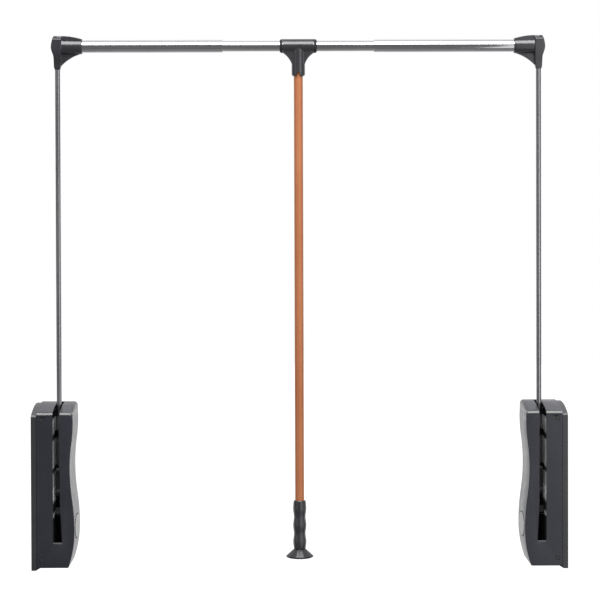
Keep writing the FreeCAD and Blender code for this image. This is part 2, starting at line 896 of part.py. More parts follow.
middle_pieces = {
    "inner_rail": inner_rail,
    "rail_plugs": rail_plugs,
    "tee": tee,
    "tee_collars": tee_collars,
    "pull_rod": pull_rod_part,
    "handle_grip": handle_grip,
    "handle_foot": handle_foot_part,
}


def main():
    os.makedirs("parts", exist_ok=True)
    for name, build in side_pieces.items():
        shape = build()
        shape.exportStep("parts/left_" + name + ".step")
        shape.mirror(V(0, 0, 0), ACROSS).exportStep("parts/right_" + name + ".step")
    for name, build in middle_pieces.items():
        build().exportStep("parts/" + name + ".step")


main()
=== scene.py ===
import json
import math

import bmesh
import bpy
from mathutils import Matrix, Vector


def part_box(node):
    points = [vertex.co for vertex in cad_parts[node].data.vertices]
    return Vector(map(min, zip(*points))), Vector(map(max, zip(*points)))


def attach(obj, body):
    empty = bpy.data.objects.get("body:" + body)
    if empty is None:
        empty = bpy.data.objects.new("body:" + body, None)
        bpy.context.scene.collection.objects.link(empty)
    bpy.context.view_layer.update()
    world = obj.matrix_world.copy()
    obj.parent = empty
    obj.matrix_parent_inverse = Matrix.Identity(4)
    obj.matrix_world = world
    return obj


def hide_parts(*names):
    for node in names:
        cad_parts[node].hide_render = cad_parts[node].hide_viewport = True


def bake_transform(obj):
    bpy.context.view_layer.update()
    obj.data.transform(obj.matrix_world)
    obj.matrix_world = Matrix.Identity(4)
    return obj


# Pull-down closet rod. The lengths of the part are written in millimetres in the frame's own axes, X to the right
# wall, Y away from the user and Z up, and are turned into metres when a mesh is made. A reach is measured inwards from
# the wall of its side, and the pieces of both sides are made on the left. Heights in materials, the camera and the
# lamps are in metres.

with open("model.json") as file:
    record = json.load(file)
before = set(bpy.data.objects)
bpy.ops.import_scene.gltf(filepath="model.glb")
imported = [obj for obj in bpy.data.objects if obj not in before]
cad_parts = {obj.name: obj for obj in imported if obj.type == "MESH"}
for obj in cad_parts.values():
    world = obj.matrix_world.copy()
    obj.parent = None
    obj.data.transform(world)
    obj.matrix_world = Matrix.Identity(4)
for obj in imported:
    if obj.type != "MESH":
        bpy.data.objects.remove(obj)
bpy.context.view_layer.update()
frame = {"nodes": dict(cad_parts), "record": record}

MM = 0.001
X_AXIS = Vector((1, 0, 0))
Y_AXIS = Vector((0, 1, 0))
Z_AXIS = Vector((0, 0, 1))
SIDES = (("left", -1), ("right", 1))

# ---- Places shared with the frame
HALF_WIDTH = 415.0
PIVOT_Y = 4.0
RAIL_HEIGHT = 812.0
ARM_X = 376.0
FRONT = -45.0
BACK = 45.0

# ---- Cover
PLATE = 8.0
COVER_FOOT = 4.0
COVER_WALL = 3.0
FRONT_TOP = 240.7
BACK_TOP = 254.0
CROWN_Y = -5.0
CROWN_TOP = 251.4
# Reach and height of the inner side's turning points; the foot's height is the cover's, and the top is straight.
OUTLINE = {"foot": 57.0, "lower": (66.8, 61.0), "waist": (59.8, 158.0), "upper": (64.8, 230.7), "top": 63.6}
FOOT_SWELL = 0.76
TOP_ROUND = 6.0
TOP_ROUND_STEPS = 8
TOP_ROUND_ANGLE = 40
# The form is cut from a block of this length, by a face that runs past it by the other two.
BLOCK_LENGTH = 90.0
ABOVE_TOP = 12.0
PAST_FACE = 5.0
CROWN_STEPS = 22
LOWER_STEPS = 10
WAIST_STEPS = 14
UPPER_STEPS = 12
COVER_EDGE = 1.2
COVER_CREASE = 24
# The slot's range of reach, the wider one at its foot, and the height from which it is straight.
SLOT = (33.5, 44.5)
SLOT_FOOT = (33.5, 47.5)
SLOT_FOOT_Z = 43.0
SLOT_FLARE_Z = 105.0
SLOT_BACK = 35.0
SILL_DEPTH = 2.2
SILL_DROP = 4.0
SCREW_REACH = 16.0
SCREW_HEIGHTS = (16.0, 233.0)
SCREW_POCKET = 7.0
SCREW_POCKET_DEPTH = 1.6
SCREW_SUNK = 0.5
SCREW_HEAD = 6.0
SCREW_THICKNESS = 0.9
SCREW_CHAMFER = (0.3, 0.25)
RECESS = (3.4, 0.7)
RECESS_DEPTH = 0.6
OVAL_SIZE = (66.0, 36.0)
OVAL_CENTRE = (0.0, 63.0)
OVAL_RISE = 0.6
OVAL_SEAT = 1.6
OVAL_RINGS = 10
OVAL_SUNK = -0.3
OVAL_PATH_STEPS = 60
BROW = (2.2, 3.4)

# ---- Spring
WIRE = 1.25
WIRE_SIDES = 8
COIL_TURNS = 7
COIL_STEPS = 32
COIL_GAP = 0.15

# ---- Corner, tee and tubes; round forms are given by their radius
ELBOW_MOUTH = 39.0
# The post's outline from the front as (along the rail, rise), and half its depth as (depth, rise).
ELBOW_POST = (
    (-4.6, 15.9), (-6.0, 14.2), (-7.4, 9.5), (-8.6, 4.0), (-9.2, -1.5), (-8.7, -5.5), (-7.4, -9.8), (-6.1, -13.4),
    (-5.4, -17.0), (-5.3, -32.0), (-4.1, -36.2), (4.1, -36.2), (5.3, -32.0), (6.4, -20.0), (6.6, -12.0), (6.6, 13.6),
    (4.8, 15.9),
)
ELBOW_SIDE = (
    (8.6, 15.9), (13.4, 10.6), (13.5, -6.0), (12.6, -11.5), (10.4, -17.5), (7.8, -23.5), (6.0, -28.5), (5.3, -32.5),
    (4.1, -36.2),
)
ELBOW_REACH = 20.0
ELBOW_BARREL = (12.6, 12.0)
ELBOW_TURNED = (9.0, 36.0)
ELBOW_SOCKET = 3.0
ELBOW_SOCKET_CUT = 12.0
ELBOW_LIP = ((0.0, 2.4), (0.3, 1.0), (1.2, 0.0))
ELBOW_MELT = (0.5, 6)
ELBOW_ROOF = ((0.0, 15.9), (11.6, 15.8), (19.0, 15.2), (27.0, 13.9), (33.0, 12.6), (38.2, 11.3))
ELBOW_ROOF_HALF = 10.0
ELBOW_WEB = 5.0
ELBOW_WEB_EDGE = ((4.1, -32.5), (17.4, -20.6), (38.0, -11.3))
WEB_STEPS = 14
ARM = 4.0
ARM_TOP = 798.0
OUTER_TUBE = 10.0
OUTER_BORE = 8.6
INNER_TUBE = 8.5
INNER_BORE = 7.3
TUBE_START = 365.0
TUBE_MOUTH = 118.0
INNER_HALF = 355.0
TEE_HALF = 24.2
TEE_BARREL = 11.0
TEE_STEM = 10.5
TEE_DROP = 47.3
TEE_EXTRA = 3.0
TEE_LIP = ((0.0, 3.2), (0.6, 1.4), (2.6, 0.0))
TEE_MELT = (0.55, 4)
TEE_GUSSET = 14.0
TEE_FILLET = ((9.9, -29.0), (16.4, -17.4), (23.2, -11.2))
TEE_FILLET_STEPS = 12
TEE_BOX = ((-TEE_HALF, -50.0, 700.0), (TEE_HALF, 50.0, 900.0))
TEE_SOCKET = 60.0
TEE_NOTCH = (2.5, 6.5)
TEE_NOTCH_STEPS = 16
TEE_SLEEVE = (768.5, 782.0)
COLLAR_START = 24.4
COLLAR_END = 29.0
COLLAR_ROUND = ((0.1, 0.0), (0.15, 1.4), (0.4, 2.4), (0.9, 3.4), (1.6, 4.1))
ROD = 7.0
ROD_BORE = 6.0
ROD_TOP = 795.0
ROD_FOOT = 80.4
# A moulding's socket is wider than the tube in it by this much, and the tee's bore is by the other. Cutters start
# a little outside what they cut.
SOCKET_ROOM = 0.02
BORE_ROOM = 0.05
CUT_PAST = 5.0
MOULDING_CREASE = 50
# Melted points this near a turned surface are put on it, and normals are set where they lie on it.
TRUE_REACH = 0.3
ON_SURFACE = 0.02

# ---- Grip and foot
GRIP_TOP = 100.4
GRIP_FOOT = 24.4
GRIP_PITCH = 26.0
GRIP_BULGE = 10.4
GRIP_NECK = 9.15
GRIP_TOP_RADIUS = 9.4
GRIP_LIP = 1.2
GRIP_LIP_DROP = 0.9
GRIP_ROWS = 110
GRIP_SOCKET = 20.0
FLUTES = 8
FLUTE_DEPTH = 0.28
FLUTE_FADE = 8.0
GRIP_CREASE = 40
ROUND_CREASE = 60
FOOT_Z = 10.2
# Radius and height above FOOT_Z.
FOOT_PROFILE = (
    (0.0, 0.9), (13.6, 0.9), (14.6, 0.2), (16.2, 0.0), (18.2, 0.4), (20.2, 1.2), (21.2, 2.0), (21.6, 2.7),
    (21.3, 3.4), (20.3, 4.2), (11.6, 12.0), (10.0, 13.3), (9.4, 14.2),
)

# ---- Steps round turned pieces
STEPS = 96
FINE_STEPS = 128
SCREW_STEPS = 48

# ---- Painted highlights along the rounded top edges above the fronts of the cover and the wall plate, as lowest and highest place and tone
PAINTED_EDGE_HIGHLIGHT = (0.2406, 0.2438, 0.18)
PAINTED_PLATE_EDGE_HIGHLIGHT = (0.2376, 0.2400, 0.25)

# ---- Guide plate: top of its tone range, the slope that its face seems to have, and its tones by height, which paint the light and shade seen through the slot: painted shade at the foot and in dark bands, lit stretches between them, and a painted highlight by the pivot
GUIDE_HEIGHT = 0.26
GUIDE_SLOPE = 0.7
GUIDE_LIGHT_AND_SHADE = (
    (0.000, 0.02), (0.080, 0.02), (0.081, 0.70), (0.087, 0.70), (0.088, 0.02), (0.102, 0.04), (0.108, 0.98),
    (0.116, 0.99), (0.126, 0.99), (0.129, 0.50), (0.148, 0.52), (0.150, 0.03), (0.156, 0.03), (0.158, 0.58),
    (0.198, 0.58), (0.201, 0.03), (0.208, 0.03), (0.211, 0.45), (0.230, 0.42), (0.234, 0.05),
)

# ---- Finishes: darkest and lightest tone and range of roughness, and what differs from the usual grain
MOULDED = {
    "housing": dict(
        name="housing_moulding", dark=(0.0235, 0.0248, 0.0325), light=(0.0315, 0.0328, 0.042), rough=(0.22, 0.30),
        depth=0.01, strength=0.35, highlight_band=PAINTED_EDGE_HIGHLIGHT,
    ),
    "plate": dict(
        name="plate_moulding", dark=(0.034, 0.034, 0.037), light=(0.042, 0.042, 0.046), rough=(0.28, 0.38),
        depth=0.01, strength=0.35, highlight_band=PAINTED_PLATE_EDGE_HIGHLIGHT,
    ),
    "corner": dict(
        name="corner_moulding", dark=(0.028, 0.028, 0.033), light=(0.036, 0.036, 0.041), rough=(0.20, 0.26),
        grain=1500.0, depth=0.001, strength=0.06, waviness=0.2, gloss=0.95,
    ),
    "collar": dict(
        name="collar_moulding", dark=(0.020, 0.020, 0.022), light=(0.027, 0.027, 0.030), rough=(0.45, 0.55),
        grain=1500.0, depth=0.004, strength=0.25, waviness=0.2, gloss=0.25,
    ),
    "grip": dict(
        name="grip_moulding", dark=(0.028, 0.0275, 0.033), light=(0.038, 0.0375, 0.044), rough=(0.20, 0.28),
        grain=2000.0, depth=0.008, strength=0.3, gloss=0.8,
    ),
    "foot": dict(
        name="foot_moulding", dark=(0.010, 0.010, 0.013), light=(0.015, 0.015, 0.019), rough=(0.24, 0.30),
        grain=2000.0, depth=0.002, strength=0.1, waviness=0.2, gloss=0.55,
    ),
    "oval": dict(
        name="oval_moulding", dark=(0.30, 0.30, 0.31), light=(0.36, 0.36, 0.37), rough=(0.25, 0.33),
        grain=1500.0, depth=0.008, strength=0.3,
    ),
    "rubber": dict(
        name="pad_rubber_finish", dark=(0.012, 0.012, 0.012), light=(0.02, 0.02, 0.02), rough=(0.6, 0.75),
    ),
    "nylon": dict(
        name="nylon_finish", dark=(0.60, 0.59, 0.55), light=(0.72, 0.71, 0.66), rough=(0.3, 0.4),
        grain=1200.0, depth=0.01, strength=0.3,
    ),
    "damper": dict(
        name="damper_finish", dark=(0.05, 0.05, 0.055), light=(0.08, 0.08, 0.085), rough=(0.25, 0.35),
        grain=900.0, depth=0.01, strength=0.3,
    ),
}
METAL = {
    "chrome": dict(
        name="rail_plating", dark=(0.80, 0.80, 0.82), light=(0.88, 0.88, 0.89), rough=(0.06, 0.10),
        stretch=(0.02, 1, 1), scale=500.0, depth=0.0004, strength=0.05,
    ),
    "arm": dict(
        name="arm_plating", dark=(0.37, 0.37, 0.383), light=(0.45, 0.45, 0.463), rough=(0.26, 0.34),
        stretch=(1, 1, 0.02), scale=600.0, depth=0.0015, strength=0.2,
    ),
    "pressed": dict(name="pressed_plating", dark=(0.36, 0.37, 0.39), light=(0.48, 0.49, 0.50), rough=(0.28, 0.42)),
    "casting": dict(
        name="casting", dark=(0.045, 0.045, 0.047), light=(0.07, 0.07, 0.072), rough=(0.40, 0.52), metallic=0.3,
    ),
    "wire": dict(name="spring_wire", dark=(0.20, 0.20, 0.22), light=(0.28, 0.28, 0.30), rough=(0.25, 0.4)),
}
COPPER_DARK = (0.490, 0.172, 0.069)
COPPER_LIGHT = (0.570, 0.215, 0.096)
COPPER_ROUGH = (0.38, 0.5)
GUIDE_ROUGH = (0.42, 0.52)
# The record's material slots and the finish that each of them gets on the CAD nodes.
FINISH_OF_SLOT = {
    "housing_plastic": "plate", "corner_plastic": "corner", "grip_plastic": "grip", "rail_chrome": "chrome",
    "arm_steel": "arm", "copper_tube": "copper", "zinc_casting": "casting", "pressed_steel": "pressed",
    "bright_steel": "bright", "spring_steel": "wire", "damper_paint": "damper", "pad_rubber": "rubber",
    "bush_nylon": "nylon",
}

# ---- Camera and stage
VIEW_FROM = Vector((-0.033, -3.195, 0.555))
VIEW_AT = Vector((0.0018, 0.004, 0.503))
LENS = 122.6
SENSOR = 36.0
SHIFT_DOWN = -0.0938
# In degrees; the photograph hangs a little to one side.
ROLL = 0.18
WHITE = (1, 1, 1)
MIRROR_RAYS = ("Is Glossy Ray", "Is Transmission Ray")
CAMERA_RAYS = ("Is Camera Ray",)
WORLD_FILL = 0.40
# What glossy surfaces mirror: a dark front, a pale top, and a white back with a greyer band above the horizon.
STUDIO_DARK = (0.135, 0.135, 0.14)
STUDIO_UP = (0.58, 0.58, 0.59)
STUDIO_WHITE = (0.95, 0.95, 0.96)
STUDIO_BAND = (0.62, 0.62, 0.635)
BACK_RAMP = (0.05, 0.75)
TOP_RAMP = (0.3, 0.75)
BAND_HEIGHT = 0.3
BAND_REACH = (0.12, 0.22)
# The key softbox is sloped; its place is the middle of its lower and of its upper edge.
KEY_PLACE = ((0.0, -2.15, 1.93), (0.0, -0.50, 2.35))
KEY_WIDTH = 1.9
KEY_RADIANCE = 6.0
SIDE_PLACE = (1.0, -1.0, 0.32)
SIDE_AIM = (0.3, 0.4, 0.36)
SIDE_SIZE = (1.2, 1.7)
SIDE_RADIANCE = 0.65
STRIPS = (((-1.45, -1.15, 0.55), 0.9), ((1.05, -1.60, 0.55), 1.6))
STRIP_SIZE = (0.26, 1.5)
FOOT_LAMP_PLACE = (0.02, 0.35, 1.6)
FOOT_LAMP_SIZE = (0.75, 0.6)
FOOT_LAMP_RADIANCE = 15.0
FLOOR_Z = -1.35
# In millimetres, as all points of a mesh are.
FLOOR_CORNERS = ((-12000, -1200, 0), (12000, -1200, 0), (12000, 22000, 0), (-12000, 22000, 0))
FLOOR_COLOUR = (0.98, 0.98, 0.98)
FLOOR_GLOW = 0.75
FLOOR_DARK = (0.24, 0.24, 0.245)
FLOOR_PALE = (0.85, 0.85, 0.85)
FLOOR_RAMP = (0.2, 4.0)


# ---- Mesh helpers

def add_mesh(name, points, faces):
    mesh = bpy.data.meshes.new(name)
    mesh.from_pydata([Vector(point) * MM for point in points], [], faces)
    mesh.validate()
    piece = bpy.data.objects.new(name, mesh)
    bpy.context.scene.collection.objects.link(piece)
    tidy = bmesh.new()
    tidy.from_mesh(mesh)
    bmesh.ops.recalc_face_normals(tidy, faces=tidy.faces)
    tidy.to_mesh(mesh)
    tidy.free()
    return piece


def axis_frame(direction):
    """Two unit vectors square to a direction."""
    helper = Z_AXIS if abs(direction.z) < 0.9 else X_AXIS
    across = direction.cross(helper).normalized()
    return across, direction.cross(across).normalized()


def lathe(name, profile, base, direction, steps=STEPS, closed=False):
    """Turned piece; the profile lists (radius, distance along). A closed profile makes a tube."""
    across, beside = axis_frame(direction)
    points = []
    rings = []
    for radius, along in profile:
        centre = base + direction * along
        if radius < 1e-6:
            rings.append([len(points)])
            points.append(centre)
            continue
        ring = []
        for step in range(steps):
            turn = math.tau * step / steps
            ring.append(len(points))
            points.append(centre + (across * math.cos(turn) + beside * math.sin(turn)) * radius)
        rings.append(ring)
    faces = []
    pairs = list(zip(rings, rings[1:]))
    if closed:
        pairs.append((rings[-1], rings[0]))
    for ring, following in pairs:
        for step in range(steps):
            after = (step + 1) % steps
            if len(ring) == 1:
                faces.append((ring[0], following[after], following[step]))
            elif len(following) == 1:
                faces.append((ring[step], ring[after], following[0]))
            else:
                faces.append((ring[step], ring[after], following[after], following[step]))
    if not closed:
        for ring in (rings[0], rings[-1]):
            if len(ring) > 1:
                faces.append(tuple(ring))
    return add_mesh(name, points, faces)


def tube(name, outside, bore, base, direction, length, lip=0.35):
    """Tube with chamfered outer ends."""
    profile = (
        (outside - lip, 0.0), (outside, lip), (outside, length - lip), (outside - lip, length),
        (bore, length), (bore, 0.0),
    )
    return lathe(name, profile, base, direction, FINE_STEPS, True)


def bar(name, radius, base, direction, length, lip=0.3):
    """Round bar with chamfered ends."""
    profile = ((radius - lip, 0.0), (radius, lip), (radius, length - lip), (radius - lip, length))
    return lathe(name, profile, base, direction)


def drill(name, radius, base, direction, length):
    """Round cutter with hardly any chamfer."""
    return bar(name, radius, base, direction, length, 0.01)


def sleeve_faces(rows, steps):
    """Faces of a sleeve of points that lie row after row round an axis."""
    faces = []
    for row in range(rows):
        near = row * steps
        far = near + steps
        for step in range(steps):
            after = (step + 1) % steps
            faces.append((near + step, near + after, far + after, far + step))
    return faces


def end_faces(rows, steps):
    """Both ends of such a sleeve."""
    return [tuple(range(steps)), tuple(reversed(range(rows * steps, (rows + 1) * steps)))]


def prism(name, outline, direction):
    """Solid with one flat outline, pushed along a direction."""
    count = len(outline)
    points = [Vector(point) for point in outline] + [Vector(point) + direction for point in outline]
    faces = [tuple(range(count)), tuple(reversed(range(count, 2 * count)))]
    for corner in range(count):
        after = (corner + 1) % count
        faces.append((corner, after, count + after, count + corner))
    return add_mesh(name, points, faces)


def block(name, low, high):
    (x0, y0, z0), (x1, y1, z1) = low, high
    return prism(name, [(x0, y0, z0), (x1, y0, z0), (x1, y1, z0), (x0, y1, z0)], Z_AXIS * (z1 - z0))


def apply_modifiers(piece):
    graph = bpy.context.evaluated_depsgraph_get()
    mesh = bpy.data.meshes.new_from_object(piece.evaluated_get(graph))
    piece.modifiers.clear()
    piece.data = mesh


def combine(piece, other, operation):
    change = piece.modifiers.new(operation, "BOOLEAN")
    change.operation = operation
    change.solver = "EXACT"
    change.object = other
    apply_modifiers(piece)
    bpy.data.objects.remove(other)
    return piece


def join_to(piece, other):
    return combine(piece, other, "UNION")


def cut_from(piece, other):
    return combine(piece, other, "DIFFERENCE")


def smooth(piece):
    for face in piece.data.polygons:
        face.use_smooth = True


def round_edges(piece, width, angle):
    """Rounds the sharp edges, and weighs the normals so that the flats stay flat."""
    bevel = piece.modifiers.new("edges", "BEVEL")
    bevel.width = width * MM
    bevel.segments = 3
    bevel.limit_method = "ANGLE"
    bevel.angle_limit = math.radians(angle)
    bevel.use_clamp_overlap = True
    apply_modifiers(piece)
    smooth(piece)
    weigh = piece.modifiers.new("normals", "WEIGHTED_NORMAL")
    weigh.mode = "FACE_AREA"
    weigh.weight = 50
    weigh.keep_sharp = False


def sharpen(piece, angle=30):
    """Smooth shading with creases where faces meet at more than the angle."""
    smooth(piece)
    piece.data.set_sharp_from_angle(angle=math.radians(angle))


def melt(piece, voxel, passes):
    """Turns joined forms into one moulding with soft fillets."""
    remesh = piece.modifiers.new("melt", "REMESH")
    remesh.mode = "VOXEL"
    remesh.voxel_size = voxel * MM
    remesh.use_smooth_shade = True
    relax = piece.modifiers.new("relax", "SMOOTH")
    relax.factor = 0.5
    relax.iterations = passes
    apply_modifiers(piece)


def true_up(piece, base, direction, radius_at):
    """Moves points that lie near a turned surface onto it; radius_at gives its radius along the axis, or None."""
    for vertex in piece.data.vertices:
        offset = vertex.co / MM - base
        along = offset.dot(direction)
        outward = offset - direction * along
        radius = radius_at(along)
        if radius and abs(outward.length - radius) < TRUE_REACH:
            vertex.co = (base + direction * along + outward.normalized() * radius) * MM


def shade_turned(piece, base, direction, radius_at):
    """Gives the corners on a turned surface its own normals, so that highlights along it run straight."""
    mesh = piece.data
    normals = [corner.vector.copy() for corner in mesh.corner_normals]
    for face in mesh.polygons:
        for loop in face.loop_indices:
            offset = mesh.vertices[mesh.loops[loop].vertex_index].co / MM - base
            along = offset.dot(direction)
            outward = offset - direction * along
            radius = radius_at(along)
            if not radius or abs(outward.length - radius) > ON_SURFACE:
                continue
            outward.normalize()
            if outward.dot(face.normal) > 0.8:
                normals[loop] = outward
    mesh.normals_split_custom_set(normals)


def arc(start, middle, end, steps):
    """Points from start to end along the circle through all three; each point is (u, v)."""
    (ax, ay), (bx, by), (cx, cy) = start, middle, end
    a, b, c = ax * ax + ay * ay, bx * bx + by * by, cx * cx + cy * cy
    d = 2 * (ax * (by - cy) + bx * (cy - ay) + cx * (ay - by))
    ux = (a * (by - cy) + b * (cy - ay) + c * (ay - by)) / d
    uy = (a * (cx - bx) + b * (ax - cx) + c * (bx - ax)) / d
    radius = math.hypot(ax - ux, ay - uy)
    first = math.atan2(ay - uy, ax - ux)
    last = math.atan2(cy - uy, cx - ux)
    between = math.atan2(by - uy, bx - ux)
    sweep = (last - first) % math.tau
    if (between - first) % math.tau > sweep:
        sweep -= math.tau
    points = []
    for step in range(1, steps + 1):
        turn = first + sweep * step / steps
        points.append((ux + radius * math.cos(turn), uy + radius * math.sin(turn)))
    return points


# ---- Cover

def side_outline(inset, foot):
    """Depth outline of the housing as (y, z)."""
    brow = (FRONT + inset, FRONT_TOP - inset)
    front_top = (brow[0] + BROW[0], brow[1] + BROW[1])
    crown = (CROWN_Y, CROWN_TOP - inset)
    back_top = (BACK - inset, BACK_TOP - inset)
    points = [(BACK - inset, foot), (FRONT + inset, foot), brow, front_top]
    return points + arc(front_top, crown, back_top, CROWN_STEPS)


def s_bend(low, high, steps):
    """Two arcs that swing from one turning point to the next."""
    middle = ((low[0] + high[0]) / 2, (low[1] + high[1]) / 2)
    quarter = ((high[0] - low[0]) / 8, (high[1] - low[1]) / 4)
    points = arc(low, (low[0] + quarter[0], low[1] + quarter[1]), middle, steps)
    return points + arc(middle, (high[0] - quarter[0], high[1] - quarter[1]), high, steps)


def swell_point(foot, lower):
    """Point of the bellied arc between the foot and the lower turning point."""
    return foot[0] + FOOT_SWELL * (lower[0] - foot[0]), (foot[1] + lower[1]) / 2


def front_outline(start, inset, foot):
    """Front outline of the housing as (reach, z)."""
    foot_point = (OUTLINE["foot"] - inset, foot)
    lower, waist, upper = [(OUTLINE[turn][0] - inset, OUTLINE[turn][1]) for turn in ("lower", "waist", "upper")]
    top = BACK_TOP + ABOVE_TOP
    points = [(start, foot), foot_point]
    points += arc(foot_point, swell_point(foot_point, lower), lower, LOWER_STEPS)
    points += s_bend(lower, waist, WAIST_STEPS)
    points += s_bend(waist, upper, UPPER_STEPS)
    return points + [(OUTLINE["top"] - inset, top), (start, top)]


def soften_top(form, inset):
    """Rounds the long edge between the top and the inner side."""
    chosen = bmesh.new()
    chosen.from_mesh(form.data)
    low = FRONT_TOP - inset - 1.0
    edges = []
    for edge in chosen.edges:
        if len(edge.link_faces) != 2 or edge.calc_face_angle() < math.radians(TOP_ROUND_ANGLE):
            continue
        ends = [vertex.co / MM for vertex in edge.verts]
        if all(end.z > low and end.x > OUTLINE["top"] - inset - 3 - HALF_WIDTH for end in ends):
            if abs(ends[0].y - ends[1].y) > 0.5 * abs(ends[0].x - ends[1].x):
                edges.append(edge)
    bmesh.ops.bevel(
        chosen, geom=edges, offset=TOP_ROUND * MM, offset_type="OFFSET", segments=TOP_ROUND_STEPS, profile=0.5,
        affect="EDGES", clamp_overlap=True,
    )
    chosen.to_mesh(form.data)
    chosen.free()


def housing_form(name, start, inset):
    """Whole form of the cover from a reach on, or of its hollow where it is inset."""
    foot = COVER_FOOT + inset
    side = [Vector((start - HALF_WIDTH, y, z)) for y, z in side_outline(inset, foot)]
    form = prism(name, side, X_AXIS * BLOCK_LENGTH)
    outline = front_outline(start - 1, inset, foot - 0.001)
    face = [Vector((reach - HALF_WIDTH, FRONT - PAST_FACE, z)) for reach, z in outline]
    other = prism(name + "_face", face, Y_AXIS * (BACK - FRONT + 2 * PAST_FACE))
    form = combine(form, other, "INTERSECT")
    soften_top(form, inset)
    return form


def slot_form():
    """The arm's slot as a cutter, which widens to its foot."""
    y = FRONT - 2
    points = [
        (SLOT_FOOT[0], SLOT_FOOT_Z), (SLOT_FOOT[1], SLOT_FOOT_Z), (SLOT[1], SLOT_FLARE_Z),
        (SLOT[1], BACK_TOP + 5), (SLOT[0], BACK_TOP + 5),
    ]
    outline = [Vector((reach - HALF_WIDTH, y, z)) for reach, z in points]
    return prism("slot", outline, Y_AXIS * (SLOT_BACK - y))


def sill_form():
    """Bevel at the slot's foot as a cutter."""
    near = SLOT_FOOT[0] - HALF_WIDTH
    outline = [
        (near, FRONT - 1, SLOT_FOOT_Z - SILL_DROP), (near, FRONT, SLOT_FOOT_Z - SILL_DROP),
        (near, FRONT + SILL_DEPTH, SLOT_FOOT_Z + 0.2), (near, FRONT - 1, SLOT_FOOT_Z + 0.2),
    ]
    return prism("sill", outline, X_AXIS * (SLOT_FOOT[1] - SLOT_FOOT[0]))


def cover_piece():
    """Moulded shell with the slot, its sill and the pockets of the screws."""
    cover = housing_form("cover", PLATE, 0.0)
    round_edges(cover, COVER_EDGE, COVER_CREASE)
    apply_modifiers(cover)
    cover = cut_from(cover, housing_form("hollow", PLATE - 2, COVER_WALL))
    cover = cut_from(cover, slot_form())
    cover = cut_from(cover, sill_form())
    for height in SCREW_HEIGHTS:
        base = Vector((SCREW_REACH - HALF_WIDTH, FRONT - 1, height))
        cover = cut_from(cover, drill("pocket", SCREW_POCKET / 2, base, Y_AXIS, SCREW_POCKET_DEPTH + 1))
    sharpen(cover, COVER_CREASE)
    return cover


def side_copy(piece, side, sign, name):
    """Copy of a piece, made for the left, on one side."""
    twin = piece.copy()
    twin.data = piece.data.copy()
    twin.name = side + name
    if sign > 0:
        twin.data.transform(Matrix.Scale(-1, 4, X_AXIS))
        twin.data.flip_normals()
    bpy.context.scene.collection.objects.link(twin)
    return twin


# ---- Materials

def new_material(name):
    material = bpy.data.materials.new(name)
    material.use_nodes = True
    material.node_tree.nodes.clear()
    return material, material.node_tree


def node(tree, kind, **settings):
    made = tree.nodes.new(kind)
    for key, value in settings.items():
        setattr(made, key, value)
    return made


def link(tree, source, target):
    tree.links.new(source, target)


def feed(tree, socket, value):
    """Sets a socket to a number or a colour, or links it to another node's output."""
    if isinstance(value, bpy.types.NodeSocket):
        link(tree, value, socket)
    elif isinstance(value, tuple):
        socket.default_value = (*value, 1)
    else:
        socket.default_value = value


def axes_of(tree, space="Object"):
    """Outputs X, Y and Z of the shaded place."""
    place = node(tree, "ShaderNodeTexCoord")
    split = node(tree, "ShaderNodeSeparateXYZ")
    link(tree, place.outputs[space], split.inputs[0])
    return split.outputs


def noise_of(tree, scale, detail=3.0, stretch=(1, 1, 1)):
    place = node(tree, "ShaderNodeTexCoord")
    mapping = node(tree, "ShaderNodeMapping")
    mapping.inputs["Scale"].default_value = stretch
    noise = node(tree, "ShaderNodeTexNoise")
    noise.inputs["Scale"].default_value = scale
    noise.inputs["Detail"].default_value = detail
    link(tree, place.outputs["Object"], mapping.inputs["Vector"])
    link(tree, mapping.outputs["Vector"], noise.inputs["Vector"])
    return noise.outputs["Fac"]


def ramp(tree, source, low, high, low_value=0, high_value=1):
    spread = node(tree, "ShaderNodeMapRange")
    for key, value in (("From Min", low), ("From Max", high), ("To Min", low_value), ("To Max", high_value)):
        spread.inputs[key].default_value = value
    link(tree, source, spread.inputs["Value"])
    return spread.outputs["Result"]


def maths(tree, operation, *values):
    made = node(tree, "ShaderNodeMath", operation=operation)
    for socket, value in zip(made.inputs, values):
        feed(tree, socket, value)
    return made.outputs[0]


def near_level(tree, height, level, inner, outer):
    """1 within the inner distance of a level, and 0 beyond the outer distance."""
    distance = maths(tree, "ABSOLUTE", maths(tree, "SUBTRACT", height, level))
    return ramp(tree, distance, outer, inner)


def mix_colours(tree, share, first, second):
    mix = node(tree, "ShaderNodeMix", data_type="RGBA")
    link(tree, share, mix.inputs[0])
    sockets = [socket for socket in mix.inputs if socket.type == "RGBA"]
    feed(tree, sockets[0], first)
    feed(tree, sockets[1], second)
    return next(output for output in mix.outputs if output.type == "RGBA")


def finish_shader(tree, shader, bumps):
    """Chains bumps into the shader's normal; each is (height source, strength, distance in mm)."""
    normal = None
    for source, strength, distance in bumps:
        bump = node(tree, "ShaderNodeBump")
        bump.inputs["Strength"].default_value = strength
        bump.inputs["Distance"].default_value = distance * MM
        link(tree, source, bump.inputs["Height"])
        if normal:
            link(tree, normal, bump.inputs["Normal"])
        normal = bump.outputs["Normal"]
    if normal:
        link(tree, normal, shader.inputs["Normal"])
    output = node(tree, "ShaderNodeOutputMaterial")
    link(tree, shader.outputs["BSDF"], output.inputs["Surface"])


def paint_edge_highlight(tree, colour, low, high, tone):
    """Painted highlight: lightens a colour between two heights, unevenly, where a rounded edge catches the light."""
    width = high - low
    near = near_level(tree, axes_of(tree)["Z"], (low + high) / 2, width * 0.4, width * 0.6)
    patchy = ramp(tree, noise_of(tree, 90.0), 0.3, 0.6, 0.7, 1)
    return mix_colours(tree, maths(tree, "MULTIPLY", near, patchy), colour, (tone, tone, tone))


